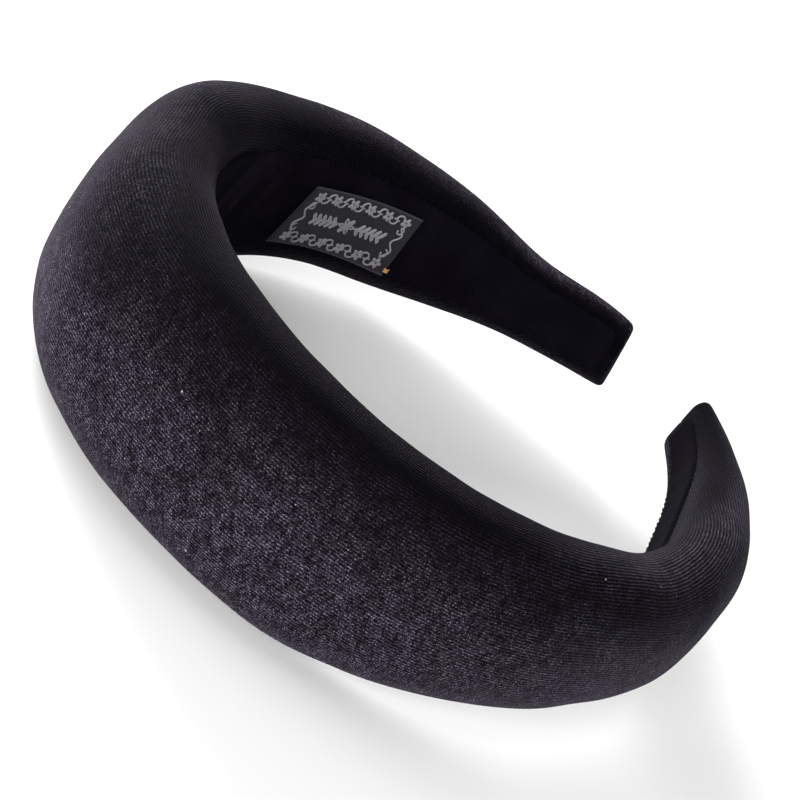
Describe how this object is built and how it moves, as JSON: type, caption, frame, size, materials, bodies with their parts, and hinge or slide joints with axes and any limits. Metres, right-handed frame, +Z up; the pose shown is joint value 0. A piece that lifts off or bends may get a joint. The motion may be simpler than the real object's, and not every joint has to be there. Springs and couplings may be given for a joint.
{
  "type": "padded headband",
  "caption": "Padded velvet Alice band: a springy tapered hoop under domed foam, with a velvet cover, a velvet lining and a small woven label inside one arm.",
  "frame": {"origin": "under the middle of the headband as it lies on its edge, at the height of its lowest point", "axes": "+Z up across the band's width, -Y towards the crown, +Y towards the two tips, -X towards the arm that carries the label"},
  "size_m": [0.1574, 0.1708, 0.049],
  "materials": {
    "velvet": "matte",
    "lining_velvet": "matte",
    "foam": "matte",
    "hoop_plastic": "satin",
    "adhesive_tape": "matte",
    "hot_melt_glue": "satin",
    "sewing_thread": "satin",
    "label_weave": "matte",
    "tack_thread": "satin"
  },
  "bodies": {
    "left_arm": {"hoop_left": "hoop_plastic", "foam_tape_left": "adhesive_tape", "foam_pad_left": "foam", "velvet_cover_left": "velvet", "hem_glue_left": "hot_melt_glue", "lining_glue_left": "hot_melt_glue", "inner_lining_left": "lining_velvet", "upper_seam_stitches_left": "sewing_thread", "lower_seam_stitches_left": "sewing_thread", "woven_label": "label_weave", "label_tack": "tack_thread"},
    "right_arm": {"hoop_right": "hoop_plastic", "foam_tape_right": "adhesive_tape", "foam_pad_right": "foam", "velvet_cover_right": "velvet", "hem_glue_right": "hot_melt_glue", "lining_glue_right": "hot_melt_glue", "inner_lining_right": "lining_velvet", "upper_seam_stitches_right": "sewing_thread", "lower_seam_stitches_right": "sewing_thread"}
  },
  "joints": [
    {"name": "band_flex", "type": "hinge", "parent": "left_arm", "child": "right_arm", "pos_m": [0, -0.06312, 0.0245], "axis": [0, 0, -1], "range_deg": [-5, 14], "stiffness_Nm_per_rad": 0.8}
  ]
}
